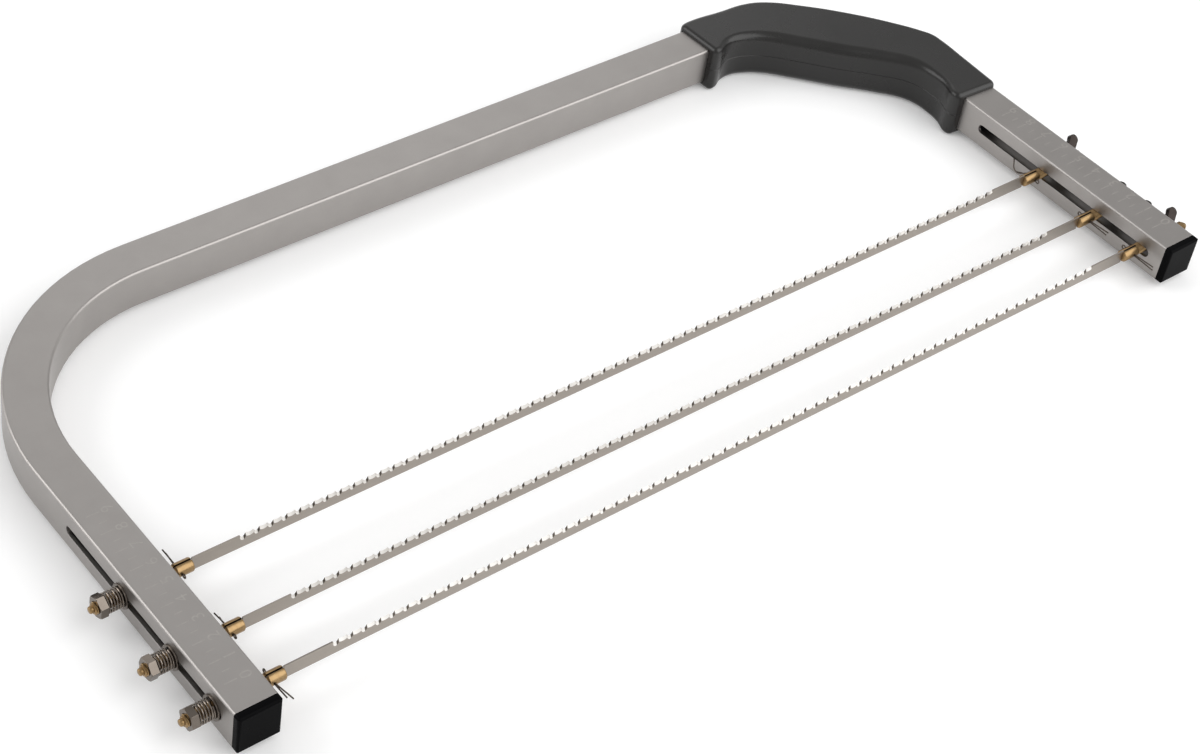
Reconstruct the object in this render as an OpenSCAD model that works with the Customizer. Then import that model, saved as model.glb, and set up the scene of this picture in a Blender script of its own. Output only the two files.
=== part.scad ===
// Cake leveler: a bow of bent square tube with three serrated blades stretched across it.
//
// The tool lies on its side, as it is laid down on a worktop: X runs along the blades, Y from
// the two feet to the back of the bow, Z is up. The origin is below the middle of the whole
// tool, on the plane of the handle's underside. In use it stands on the two end caps, so the
// blades lie level and their teeth lead the cut.
// Blade 1 is the one nearest the back of the bow and blade 3 is nearest the feet.

/* [Bow] */
// Width over both arms
bow_w = 488; // [470:1:510]
// Depth from the tube's ends to the back of the bow
bow_d = 224; // [222:1:240]
// Side of the square tube
tube = 18; // [17.6:0.2:19]
// Wall of the tube
tube_wall = 1.5; // [1.2:0.1:1.6]
// Radius on the tube's four long edges
tube_edge_r = 1.2; // [0.8:0.1:1.6]
// Radius of both bends, on the tube's centre line
bend_r = 83; // [82:0.5:84]

/* [Slots] */
// Width of the slots in the arms
slot_w = 4.2; // [4.1:0.05:4.4]
// Near end of each slot, from the end of the tube
slot_near = 7; // [6.8:0.1:7.2]
// Far end of each slot, from the end of the tube
slot_far = 109; // [100:1:110]

/* [Blades] */
// Distance of each blade from the end of the tube: blade 1, 2 and 3
blade_at = [71, 38.2, 12.4];
// Width of a blade, teeth included
blade_w = 6.35; // [5.8:0.05:7]
// Thickness of a blade
blade_t = 0.6; // [0.5:0.05:0.6]
// Number of teeth, each a deep gullet and a shallow one
teeth = 65; // [50:1:68]
// Length of one tooth along the blade
tooth_pitch = 6; // [5.6:0.1:6]
// Length of the deep gullet
gullet_l = 2.6; // [2.2:0.1:3]
// Depth of the deep gullet
gullet_d = 1.4; // [1:0.1:1.8]
// Depth of the shallow gullet
scallop_d = 0.5; // [0.3:0.1:0.8]
// Angle between the ground bevel and the blade's face
bevel_angle = 25; // [20:1:30]

/* [Blade holders] */
// Outside diameter of the rods' thread and head
rod_d = 5; // [4.8:0.1:5]
// Height of the rods between their two flats
rod_flat = 4; // [3.8:0.05:4.05]
// How far the left rods' tips stand out of the left arm
left_tip = 13.2; // [13:0.1:15]
// How far the right rods' tips stand out of the right arm: blade 1, 2 and 3
right_tip = [7.8, 8.8, 12];
// Length of the turned-down point at a rod's tip
point_l = 1.5; // [1:0.1:2]
// Diameter of that point
point_d = 2.8; // [2.4:0.1:3.2]
// Gap between the left arm and the heads of its rods
left_head_gap = 3.6; // [3.5:0.1:4]
// Length of the left heads
left_head_l = 7.1; // [6.5:0.1:9]
// Gap between the right arm and the heads of its rods
right_head_gap = 2.4; // [2.2:0.1:3]
// Length of the right heads
right_head_l = 8.6; // [8:0.1:10]
// Distance of the split pins' holes from the arms
pin_gap = 5.4; // [5.2:0.1:6]
// Hole for a split pin
pin_hole_d = 1.3; // [1.2:0.05:1.4]

/* [Nuts, washers and springs] */
// Outside diameter of the washers
washer_d = 10; // [9:0.5:11]
// Thickness of the washers
washer_t = 0.8; // [0.8:0.1:1]
// Size across the flats of the hexagon nuts
hex_af = 8; // [7.5:0.1:8.5]
// Height of the hexagon nuts
hex_t = 3.2; // [2.8:0.1:3.2]
// Outside diameter of the springs
spring_d = 8.1; // [7.8:0.1:8.4]
// Diameter of the spring wire
wire_d = 0.7; // [0.6:0.05:0.7]
// Turns of a spring
spring_turns = 3.75; // [3:0.25:3.75]
// Span over a wing nut's wings
wing_span = 19.6; // [18:0.2:21]
// Height of a wing nut's hub
hub_h = 5.4; // [5:0.1:6]
// Running clearance round the thread of a turning nut
thread_gap = 0.05; // [0.02:0.01:0.1]

/* [Handle] */
// Height of the handle, the tube's plus a skin above and below
handle_h = 23; // [22.6:0.1:24]
// Radius on the handle's edges
handle_edge_r = 3.5; // [3:0.5:4.5]
// Clearance between the tube and the handle's channel
channel_gap = 0.05; // [0.02:0.01:0.1]

/* [End caps] */
// How far the caps stand out of the tube
cap_t = 3.3; // [3:0.1:4]
// Length of the plug inside the tube
plug_l = 6.4; // [5:0.1:6.4]

/* [Hidden] */

$fn = 64;

// Colours
aluminium = "#a3a09b";
black_plastic = "#3a3937";
cap_black = "#1b1b1d";
brass = "#b08a50";
blade_steel = "#938b83";
plated_steel = "#8a827a";

// The bow is drawn with X = 0 halfway between the arms, Y = 0 at the tube's ends and Z = 0 at
// the middle of the tube. These three move it to the tool's own origin.
half_w = bow_w / 2;
inside = half_w - tube;
handle_back = bow_d + 3.3;
to_origin = [
    (left_tip - max(right_tip)) / 2,
    -(handle_back - cap_t) / 2,
    handle_h / 2
];

// Middle of the right bend, which the handle goes round
bend_x = half_w - tube / 2 - bend_r;
bend_y = bow_d - tube / 2 - bend_r;

// Bearing faces along X, measured outwards from an arm's outside face
spring_l = 6.5;
nut_face = washer_t + spring_l;

// Washers and nuts
washer_hole_d = rod_d + 0.2;
hub_d = 8.6;
hub_nose_d = 7;
wing_t = 2.4;
wing_r = 2.3;
wing_rise = 9.2;

// Angle of each wing nut's wings from level, and of each hexagon nut's lowest flat
wing_turn = [42, 0, 42];
hex_turn = [3, 18, 35];

// Sawn slot in a rod's head, and the blade's ends inside it
saw_w = blade_t + 0.1;
blade_end_gap = 0.5;

module in_frame() {
    translate(to_origin) children();
}

// ---------------------------------------------------------------- shared profiles

// Square with true arcs at its corners
module round_square(side, r) {
    square([side, side - 2 * r], center = true);
    square([side - 2 * r, side], center = true);
    for (x = [-1, 1], y = [-1, 1])
        translate([x, y] * (side / 2 - r)) circle(r);
}

// A round bar along +X from x = 0
module bar_x(d, l) {
    rotate([0, 90, 0]) cylinder(d = d, h = l);
}

// Swept along the bow: the arms, the two bends and the back. The profile's middle follows the
// tube's centre line.
module sweep_bow() {
    straight = bow_d - tube / 2 - bend_r;
    back = bow_w - tube - 2 * bend_r;
    for (side = [-1, 1]) {
        translate([side * (half_w - tube / 2), 0, 0])
            rotate([-90, 0, 0]) linear_extrude(straight) children();
        translate([side * bend_x, bend_y, 0])
            rotate([0, 0, side > 0 ? 0 : 90])
                rotate_extrude(angle = 90, $fn = 128) translate([bend_r, 0]) children();
    }
    translate([-back / 2, bow_d - tube / 2, 0])
        rotate([90, 0, 90]) linear_extrude(back) children();
}

// ---------------------------------------------------------------- bow

module slot_cut() {
    for (y = [slot_near + slot_w / 2, slot_far - slot_w / 2])
        translate([-half_w - 1, y, 0]) bar_x(slot_w, bow_w + 2);
    translate([-half_w - 1, slot_near + slot_w / 2, -slot_w / 2])
        cube([bow_w + 2, slot_far - slot_near - slot_w, slot_w]);
}

module frame_tube() {
    color(aluminium) in_frame() difference() {
        sweep_bow() difference() {
            round_square(tube, tube_edge_r);
            square(tube - 2 * tube_wall, center = true);
        }
        slot_cut();
    }
}

// ---------------------------------------------------------------- handle

// Outline of the handle seen from above, from the middle of the right bend. The outer side
// follows the bow with a flared collar at the back end. The inner side cuts the corner with a
// straight grip, with a finger lip at each end.
module handle_outline() {
    outer = [
        [-7, 94.2], [-1, 95.3], [17, 93.9], [33, 93.3], [42.5, 89.8], [55.3, 79.3], [72, 62.5],
        [87, 43.8], [92.4, 35.8], [94.9, 30], [95.3, 24.7], [94, 10], [93.2, -12.7]
    ];
    inner = [
        [69.2, -12.7], [69.2, -9], [71.4, -2], [72, 5], [70.4, 17], [47.6, 41.8],
        [24.4, 66], [17, 70.3], [10, 72.2], [4, 72], [-2, 69.2], [-7, 69]
    ];
    offset(r = -6) offset(delta = 6)
        offset(r = 1) offset(delta = -1) polygon(concat(outer, inner));
}

// The whole moulding, with rounded edges, before it is split and hollowed for the tube
module handle_block() {
    translate([bend_x, bend_y, -handle_h / 2 + handle_edge_r])
        minkowski() {
            linear_extrude(handle_h - 2 * handle_edge_r)
                offset(delta = -handle_edge_r, $fn = 32) handle_outline($fn = 32);
            sphere(handle_edge_r / cos(180 / 24), $fn = 24);
        }
}

// Places of the handle's screws, in the web inside the bend: distance and angle from its middle
screw_r = 70.4;
screw_angles = [35, 45, 55];
screw_d = 3;
screw_head_d = 5.6;
screw_head_h = 2.2;
screw_depth = 3;
screw_l = 14;

module at_screws() {
    for (a = screw_angles)
        translate([bend_x + screw_r * cos(a), bend_y + screw_r * sin(a), -handle_h / 2])
            children();
}

module handle_shell(upper) {
    color(black_plastic) in_frame() difference() {
        intersection() {
            handle_block();
            translate([bend_x - 20, bend_y - 30, upper ? 0 : -handle_h])
                cube([130, 140, handle_h]);
        }
        sweep_bow() square(tube + 2 * channel_gap, center = true);
        at_screws() {
            cylinder(d = screw_d + 0.04, h = screw_depth + screw_l + 1);
            cylinder(d = screw_head_d + 0.4, h = screw_depth);
        }
    }
}

module handle_upper_shell() {
    handle_shell(true);
}

module handle_lower_shell() {
    handle_shell(false);
}

module handle_screws() {
    color(plated_steel) in_frame() at_screws() {
        translate([0, 0, screw_depth - screw_head_h]) difference() {
            cylinder(d = screw_head_d, h = screw_head_h);
            for (a = [0, 90])
                rotate(a) translate([-1.7, -0.4, -1]) cube([3.4, 0.8, 2.2]);
        }
        translate([0, 0, screw_depth]) cylinder(d = screw_d, h = screw_l - 1.5);
        translate([0, 0, screw_depth + screw_l - 1.5])
            cylinder(d1 = screw_d, d2 = 0.8, h = 1.5, $fn = 32);
    }
}

// ---------------------------------------------------------------- end caps

// Flange with its outer edges rounded on all sides, and a hollow plug that fills the tube
module end_cap(side) {
    edge = 1.3;
    plug = tube - 2 * tube_wall - 0.1;
    color(cap_black) in_frame() translate([side * (half_w - tube / 2), 0, 0]) {
        intersection() {
            rotate([90, 0, 0]) linear_extrude(cap_t) round_square(tube, tube_edge_r);
            for_both_ways() cap_side(edge);
        }
        rotate([-90, 0, 0]) difference() {
            linear_extrude(plug_l) round_square(plug, 0.6);
            translate([0, 0, 1]) linear_extrude(plug_l) square(plug - 3, center = true);
        }
    }
}

// A cap's outline from the side, seen along X, with the two outer corners rounded
module cap_side(edge) {
    rotate([90, 0, 90]) linear_extrude(2 * tube, center = true) {
        translate([-cap_t + edge, -tube / 2]) square([cap_t - edge, tube]);
        translate([-cap_t, -tube / 2 + edge]) square([cap_t, tube - 2 * edge]);
        for (z = [-1, 1])
            translate([-cap_t + edge, z * (tube / 2 - edge)]) circle(edge);
    }
}

module for_both_ways() {
    intersection() {
        children();
        rotate([0, 90, 0]) children();
    }
}

module end_cap_left() {
    end_cap(-1);
}

module end_cap_right() {
    end_cap(1);
}

// ---------------------------------------------------------------- blades

// Points of a shallow arc in the cutter's profile, from x = 0 to the width, without its end
function arc_points(x, width, depth, steps) =
    let (r = (width * width / 4 + depth * depth) / (2 * depth), half = asin(width / 2 / r))
    [for (i = [0:steps - 1])
        let (a = -half + 2 * half * i / steps)
        [x + width / 2 + r * sin(a), r - depth - r * cos(a)]];

// Profile of the grinding wheel's cut, looking along the bevel: a deep and a shallow scallop
// for each tooth. Heights shrink by the sine of the bevel's angle.
function tooth_profile(n) = [
    for (i = [0:n - 1])
        each concat(
            arc_points(i * tooth_pitch, gullet_l, gullet_d * sin(bevel_angle), 6),
            arc_points(i * tooth_pitch + gullet_l, tooth_pitch - gullet_l,
                scallop_d * sin(bevel_angle), 4)
        )
];

// Everything that the grinding takes off, for a blade whose teeth point up
module teeth_cut() {
    toothed = teeth * tooth_pitch;
    cut = concat(tooth_profile(teeth), [[toothed, 0], [toothed, 2], [0, 2]]);
    translate([-toothed / 2, blade_t / 2, blade_w / 2])
        rotate([180 - bevel_angle, 0, 0])
            translate([0, 0, -2]) linear_extrude(7) polygon(cut);
}

// X of each blade's two ends
blade_left = -inside + left_head_gap;
blade_right = inside - right_head_gap - 0.4;

module blade(n) {
    color(blade_steel) in_frame() translate([0, blade_at[n - 1], 0]) difference() {
        translate([blade_left, -blade_t / 2, -blade_w / 2])
            cube([blade_right - blade_left, blade_t, blade_w]);
        teeth_cut();
        for (x = [-1, 1])
            translate([x * (inside - pin_gap), 0, 0]) rotate([90, 0, 0])
                cylinder(d = pin_hole_d, h = 2, center = true, $fn = 32);
    }
}

// ---------------------------------------------------------------- rods and pins

// A blade holder along +X from its free end at x = 0: a round head that is sawn down the
// middle and drilled for the split pin, a threaded shank with two flats that run in the arm's
// slot, and a turned-down point.
module rod(head, length, pin_at, saw) {
    chamfer = 0.5;
    shank_end = length - point_l;
    difference() {
        union() {
            rotate([0, 90, 0]) cylinder(d1 = rod_d - 2 * chamfer, d2 = rod_d, h = chamfer);
            translate([chamfer, 0, 0]) bar_x(rod_d, head - chamfer);
            intersection() {
                union() {
                    bar_x(rod_d, shank_end - chamfer);
                    translate([shank_end - chamfer, 0, 0]) rotate([0, 90, 0])
                        cylinder(d1 = rod_d, d2 = rod_d - 2 * chamfer, h = chamfer);
                }
                translate([head - 1, -rod_d, -rod_flat / 2]) cube([length, 2 * rod_d, rod_flat]);
            }
            translate([head, 0, 0]) bar_x(point_d, length - head - chamfer);
            translate([length - chamfer, 0, 0]) rotate([0, 90, 0])
                cylinder(d1 = point_d, d2 = point_d - 2 * chamfer, h = chamfer);
        }
        translate([-1, -saw_w / 2, -rod_d]) cube([saw + 1, saw_w, 2 * rod_d]);
        translate([pin_at, 0, 0]) rotate([90, 0, 0])
            cylinder(d = pin_hole_d, h = 2 * rod_d, center = true, $fn = 32);
    }
}

module tension_rod(n) {
    head_end = -inside + left_head_gap + left_head_l;
    color(brass) in_frame() translate([head_end, blade_at[n - 1], 0]) mirror([1, 0, 0])
        rod(
            head = left_head_l,
            length = head_end + half_w + left_tip,
            pin_at = head_end + inside - pin_gap,
            saw = left_head_l + blade_end_gap
        );
}

module clamp_rod(n) {
    head_end = inside - right_head_gap - right_head_l;
    color(brass) in_frame() translate([head_end, blade_at[n - 1], 0])
        rod(
            head = right_head_l,
            length = half_w + right_tip[n - 1] - head_end,
            pin_at = inside - pin_gap - head_end,
            saw = right_head_l + 0.1
        );
}

// A wire along straight stretches between points, a little swollen at its bends
module wire(points, d) {
    for (i = [0:len(points) - 2]) {
        run = points[i + 1] - points[i];
        translate(points[i])
            rotate([0, acos(run[2] / norm(run)), atan2(run[1], run[0])])
                cylinder(d = d, h = norm(run), $fn = 24);
        if (i > 0) translate(points[i]) sphere(d = d + 0.12, $fn = 24);
    }
}

// A split pin along +Y through a head: an eye on the near side, and two legs bent apart on
// the far side. Each leg is a list of points from the middle of the hole.
module split_pin(legs) {
    pin_d = 1.2;
    leg_d = 0.6;
    eye_r = 0.8;
    grip = rod_d + 0.9;
    root = [0, rod_d / 2 + 0.2, 0];
    color(plated_steel) {
        translate([0, -grip / 2, 0]) rotate([-90, 0, 0]) cylinder(d = pin_d, h = grip, $fn = 32);
        translate([0, -grip / 2 - eye_r, 0]) rotate([0, 90, 0])
            rotate_extrude($fn = 48) translate([eye_r, 0]) circle(leg_d / 2, $fn = 24);
        for (leg = legs) wire(concat([root], leg), leg_d);
    }
}

module split_pin_left(n) {
    legs = [
        [[[-0.6, 10, 1.5]], [[0.5, 9.2, -0.4]]],
        [[[-0.9, 8.3, 1.1]], [[0.8, 7.4, -1.2]]],
        [[[0.6, 13, 2.2]], [[0.8, 9.2, -1.4]]]
    ];
    in_frame() translate([-inside + pin_gap, blade_at[n - 1], 0])
        mirror([0, n == 3 ? 1 : 0, 0]) split_pin(legs[n - 1]);
}

module split_pin_right(n) {
    legs = [
        [[[-0.8, 7.9, -2], [-1.6, 10.4, 4]], [[0.2, 8.2, -2.8]]],
        [[[0.4, 12.6, 0.7]], [[0.2, 12, -0.8]]],
        [[[0.2, 12.6, 0.7]], [[0, 13, -0.7]]]
    ];
    in_frame() translate([inside - pin_gap, blade_at[n - 1], 0])
        mirror([0, n == 1 ? 0 : 1, 0]) split_pin(legs[n - 1]);
}

// ---------------------------------------------------------------- washers, springs and nuts

module washer() {
    difference() {
        bar_x(washer_d, washer_t);
        translate([-1, 0, 0]) bar_x(washer_hole_d, washer_t + 2);
    }
}

module spring_washer(n) {
    color(plated_steel) in_frame()
        translate([-half_w - washer_t, blade_at[n - 1], 0]) washer();
}

module clamp_washer(n) {
    color(plated_steel) in_frame()
        translate([half_w, blade_at[n - 1], 0]) washer();
}

// The spring's wire lies on a cylinder round X. Each station is [x, angle round X, angle of
// the wire from X]: straight out of the washer, round into the winding, and straight into the
// nut's face at the far end.
wire_bend_r = 0.45;
wire_r = (spring_d - wire_d) / 2;
wind_from = wire_d + wire_bend_r;
wind_l = spring_l - 2 * wind_from;
bend_sweep = wire_bend_r / wire_r * 180 / PI;
rings = ceil(spring_turns * 8);

function wire_stations() = concat(
    [[0, 0, 0]],
    [for (a = [0, 35, 70])
        [wire_d + wire_bend_r * sin(a), bend_sweep * (1 - cos(a)), a]],
    [for (i = [0:rings])
        [wind_from + wind_l * i / rings, bend_sweep + 360 * spring_turns * i / rings,
            i == 0 || i == rings ? 87 : 90 - atan(wind_l / spring_turns / (2 * PI * wire_r))]],
    [for (a = [70, 35, 0])
        [spring_l - wire_d - wire_bend_r * sin(a),
            360 * spring_turns + bend_sweep * (1 + cos(a)), a]],
    [[spring_l, 360 * spring_turns + 2 * bend_sweep, 0]]
);

function wire_centre(s) = [s[0], wire_r * cos(s[1]), wire_r * sin(s[1])];

// Six points round the wire at a station, square to its run
function wire_ring(s) =
    let (out = [0, cos(s[1]), sin(s[1])],
        run = [cos(s[2]), -sin(s[1]) * sin(s[2]), cos(s[1]) * sin(s[2])],
        across = cross(run, out))
    [for (k = [0:5])
        wire_centre(s) + wire_d / 2 * (cos(60 * k) * out + sin(60 * k) * across)];

// Least gap between the wire and itself, between stations at least half a turn apart
function wire_gap(stations) =
    let (c = [for (s = stations) wire_centre(s)], n = len(c))
    min([for (i = [0:n - 6], j = [i + 5:n - 1]) norm(c[i] - c[j])]) - wire_d;

module spring_wire() {
    stations = wire_stations();
    n = len(stations);
    points = [for (s = stations) each wire_ring(s)];
    sides = [
        for (i = [0:n - 2], k = [0:5])
            let (a = 6 * i + k, b = 6 * i + (k + 1) % 6)
            each [[a, b, a + 6], [b, b + 6, a + 6]]
    ];
    near_end = [for (k = [1:4]) [0, k + 1, k]];
    far_end = [for (k = [1:4]) [6 * n - 6, 6 * n - 6 + k, 6 * n - 5 + k]];
    polyhedron(points, concat(sides, near_end, far_end));
}

echo(spring_wire_gap = wire_gap(wire_stations()));

module spring(n) {
    color(plated_steel) in_frame()
        translate([-half_w - washer_t, blade_at[n - 1], 0])
            mirror([1, 0, 0]) rotate([40 * n, 0, 0]) spring_wire();
}

// Hexagon nut with its outer corners turned off
module hex_nut(n) {
    corner_d = hex_af / cos(30);
    chamfer = 0.4;
    color(plated_steel) in_frame()
        translate([-half_w - nut_face, blade_at[n - 1], 0]) mirror([1, 0, 0])
            difference() {
                intersection() {
                    rotate([hex_turn[n - 1], 0, 0]) rotate([0, 90, 0])
                        cylinder(d = corner_d, h = hex_t, $fn = 6);
                    union() {
                        bar_x(corner_d + 0.02, hex_t - chamfer);
                        translate([hex_t - chamfer, 0, 0]) rotate([0, 90, 0])
                            cylinder(d1 = corner_d + 0.02, d2 = corner_d - 2 * chamfer, h = chamfer);
                    }
                }
                translate([-1, 0, 0]) bar_x(rod_d + 2 * thread_gap, hex_t + 2);
            }
}

// Wing nut along +X: a tapered hub with a wing on each side
module wing_nut(n) {
    color(plated_steel) in_frame()
        translate([half_w + washer_t, blade_at[n - 1], 0]) rotate([wing_turn[n - 1], 0, 0])
            difference() {
                union() {
                    rotate([0, 90, 0]) cylinder(d1 = hub_d, d2 = hub_nose_d, h = hub_h);
                    for (side = [-1, 1]) wing(side);
                }
                translate([-1, 0, 0]) bar_x(rod_d + 2 * thread_gap, wing_rise + wing_r);
            }
}

// One wing: a rounded ear that leans away from the arm, on a short neck out of the hub
module wing(side) {
    ear = [wing_rise - wing_r, wing_span / 2 - wing_r];
    mirror([0, side > 0 ? 0 : 1, 0])
        linear_extrude(wing_t, center = true) {
            translate(ear) circle(wing_r);
            polygon([
                [0.6, hub_nose_d / 2 - 0.6],
                [0.6, hub_d / 2 + 0.6],
                ear + wing_r * [-cos(25), sin(25)],
                ear + wing_r * [cos(60), -sin(60)],
                [hub_h - 0.3, hub_nose_d / 2 - 0.6]
            ]);
        }
}

// ---------------------------------------------------------------- the pieces

frame_tube();
handle_upper_shell();
handle_lower_shell();
handle_screws();
end_cap_left();
end_cap_right();
blade(1);  // blade_1
blade(2);  // blade_2
blade(3);  // blade_3
tension_rod(1);  // tension_rod_1
tension_rod(2);  // tension_rod_2
tension_rod(3);  // tension_rod_3
clamp_rod(1);  // clamp_rod_1
clamp_rod(2);  // clamp_rod_2
clamp_rod(3);  // clamp_rod_3
split_pin_left(1);  // split_pin_left_1
split_pin_left(2);  // split_pin_left_2
split_pin_left(3);  // split_pin_left_3
split_pin_right(1);  // split_pin_right_1
split_pin_right(2);  // split_pin_right_2
split_pin_right(3);  // split_pin_right_3
spring_washer(1);  // spring_washer_1
spring_washer(2);  // spring_washer_2
spring_washer(3);  // spring_washer_3
spring(1);  // spring_1
spring(2);  // spring_2
spring(3);  // spring_3
hex_nut(1);  // hex_nut_1
hex_nut(2);  // hex_nut_2
hex_nut(3);  // hex_nut_3
clamp_washer(1);  // clamp_washer_1
clamp_washer(2);  // clamp_washer_2
clamp_washer(3);  // clamp_washer_3
wing_nut(1);  // wing_nut_1
wing_nut(2);  // wing_nut_2
wing_nut(3);  // wing_nut_3
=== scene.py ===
"""Cake leveler: a bow of bent square tube with three toothed blades stretched across it.

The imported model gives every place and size. This file dresses it: it rebuilds the pieces whose
real surfaces are finer than the solids, gives each one its finish, and sets up a plain studio.
Lengths are in millimetres in the classes and become metres where a mesh is made.
"""
import logging
import math
from dataclasses import dataclass
from enum import Enum, IntEnum
from typing import Iterable, Sequence

import bmesh
import bpy
from mathutils import Matrix, Vector


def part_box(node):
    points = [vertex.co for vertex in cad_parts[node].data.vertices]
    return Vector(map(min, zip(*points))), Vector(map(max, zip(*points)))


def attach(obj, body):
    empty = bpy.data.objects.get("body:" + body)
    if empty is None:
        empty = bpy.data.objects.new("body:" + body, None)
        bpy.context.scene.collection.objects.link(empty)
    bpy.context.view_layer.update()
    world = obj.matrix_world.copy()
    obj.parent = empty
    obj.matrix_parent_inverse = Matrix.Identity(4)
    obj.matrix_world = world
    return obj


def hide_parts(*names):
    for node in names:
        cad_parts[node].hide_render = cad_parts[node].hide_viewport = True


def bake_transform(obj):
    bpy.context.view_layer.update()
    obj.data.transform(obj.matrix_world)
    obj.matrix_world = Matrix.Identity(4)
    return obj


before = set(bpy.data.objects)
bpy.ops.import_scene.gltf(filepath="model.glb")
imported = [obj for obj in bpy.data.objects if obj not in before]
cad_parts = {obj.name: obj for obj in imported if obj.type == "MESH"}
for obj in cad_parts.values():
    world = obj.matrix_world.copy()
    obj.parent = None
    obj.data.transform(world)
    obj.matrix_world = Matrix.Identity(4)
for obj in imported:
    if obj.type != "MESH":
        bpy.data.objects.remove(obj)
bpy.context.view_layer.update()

LOG = logging.getLogger("cake_leveler")
MM = 0.001
# Points nearer to each other than these distances, in millimetres, are one point
WELD = 0.002
FINE_WELD = 0.001
# Faces that turn by less than this many degrees are one flat face
FLAT_TURN = 0.4
# How far a cutting tool reaches past the face that it starts from
OVERSHOOT = 1.0

# Sizes of the bow, in millimetres
HALF_WIDTH = 244.0
TUBE = 18.0
INSIDE = HALF_WIDTH - TUBE
# From an arm's inner face to the holes for the split pins
PIN_GAP = 5.4
# Height of a figure as a share of its font size
FIGURE_RISE = 0.7

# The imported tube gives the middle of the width, the tube's ends and its mid-height
TUBE_LOW, TUBE_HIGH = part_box("frame_tube")
ORIGIN = Vector(((TUBE_LOW.x + TUBE_HIGH.x) / 2, TUBE_LOW.y, (TUBE_LOW.z + TUBE_HIGH.z) / 2))


class Arm(IntEnum):
    """The bow's two arms, as the sign of x."""

    LEFT = -1
    RIGHT = 1


def blade_at(unit: int) -> float:
    """Return how far a blade lies from the tube's ends, in millimetres."""
    low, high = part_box(f"tension_rod_{unit}")
    return ((low.y + high.y) / 2 - ORIGIN.y) / MM


# ------------------------------------------------------------------ shared helpers

def linear(colour: str) -> tuple[float, float, float, float]:
    """Turn an sRGB hex colour into the linear values that shader sockets take.

    Args:
        colour: Six hex digits after a number sign.

    Returns:
        Linear red, green, blue and an alpha of 1.
    """
    parts = [int(colour[i:i + 2], 16) / 255 for i in (1, 3, 5)]
    curve = [p / 12.92 if p <= 0.04045 else ((p + 0.055) / 1.055) ** 2.4 for p in parts]
    return (curve[0], curve[1], curve[2], 1.0)


def add_node(tree: bpy.types.NodeTree, kind: str, values: dict | None = None,
             links: dict | None = None, **settings: object) -> bpy.types.Node:
    """Add one node with its settings, socket values and incoming links.

    Args:
        tree: The node tree.
        kind: Blender's name for the node's type.
        values: Values for input sockets, by name or number.
        links: Output sockets to join to input sockets, by name or number.
        **settings: Properties of the node itself.

    Returns:
        The new node.
    """
    made = tree.nodes.new(kind)
    for name, value in settings.items():
        setattr(made, name, value)
    for socket, value in (values or {}).items():
        made.inputs[socket].default_value = value
    for socket, source in (links or {}).items():
        tree.links.new(source, made.inputs[socket])
    return made


def place(x: float, y: float, z: float) -> Vector:
    """Turn a place in the bow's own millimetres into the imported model's metres."""
    return Vector((x, y, z)) * MM + ORIGIN


def link_object(name: str, data: bpy.types.ID) -> bpy.types.Object:
    """Make an object from its data and link it to the scene."""
    made = bpy.data.objects.new(name, data)
    bpy.context.scene.collection.objects.link(made)
    return made


def add_box(bm: bmesh.types.BMesh, middle: Vector, size: Sequence[float]) -> None:
    """Add a box to a mesh.

    Args:
        bm: The mesh.
        middle: The box's middle, in metres.
        size: Its three sizes, in millimetres.
    """
    lengths = Vector(size) * MM
    bmesh.ops.create_cube(bm, size=1.0,
                          matrix=Matrix.Translation(middle) @ Matrix.Diagonal((*lengths, 1.0)))


def add_bar(bm: bmesh.types.BMesh, diameter: float, length: float, sides: int,
            matrix: Matrix) -> None:
    """Add a round bar to a mesh.

    Args:
        bm: The mesh.
        diameter: The bar's diameter, in millimetres.
        length: Its length, in millimetres.
        sides: Faces round it.
        matrix: Its place, in metres, and its turn from upright.
    """
    bmesh.ops.create_cone(bm, cap_ends=True, segments=sides, radius1=diameter / 2 * MM,
                          radius2=diameter / 2 * MM, depth=length * MM, matrix=matrix)


def add_curve(bm: bmesh.types.BMesh, curve: bpy.types.Curve,
              matrix: Matrix | None = None) -> None:
    """Add a curve's surface or line to a mesh, and remove the curve.

    Args:
        bm: The mesh.
        curve: The curve.
        matrix: Where the curve goes, unless it stays where it is.
    """
    holder = bpy.data.objects.new(curve.name, curve)
    mesh = bpy.data.meshes.new_from_object(holder)
    mesh.transform(matrix or Matrix())
    bm.from_mesh(mesh)
    bpy.data.objects.remove(holder)
    bpy.data.meshes.remove(mesh)
    bpy.data.curves.remove(curve)


def solid_copy(node: str) -> bmesh.types.BMesh:
    """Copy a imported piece's mesh, joined up, with its flat faces made whole.

    Args:
        node: The piece's node name.

    Returns:
        The copy, in metres.
    """
    bm = bmesh.new()
    bm.from_mesh(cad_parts[node].data)
    bmesh.ops.remove_doubles(bm, verts=bm.verts, dist=WELD * MM)
    bmesh.ops.dissolve_limit(bm, angle_limit=math.radians(FLAT_TURN), verts=bm.verts,
                             edges=bm.edges)
    return bm


def soften(bm: bmesh.types.BMesh, width: float, angle: float) -> None:
    """Round the sharp edges of a mesh.

    Args:
        bm: The mesh.
        width: Width of the rounding, in millimetres.
        angle: The least turn of an edge that is rounded, in degrees.
    """
    least = math.radians(angle)
    sharp = [e for e in bm.edges if len(e.link_faces) == 2 and e.calc_face_angle(0) > least]
    bmesh.ops.bevel(bm, geom=sharp, offset=width * MM, offset_type="OFFSET", segments=2,
                    profile=0.5, affect="EDGES", clamp_overlap=True, material=-1)


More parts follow.
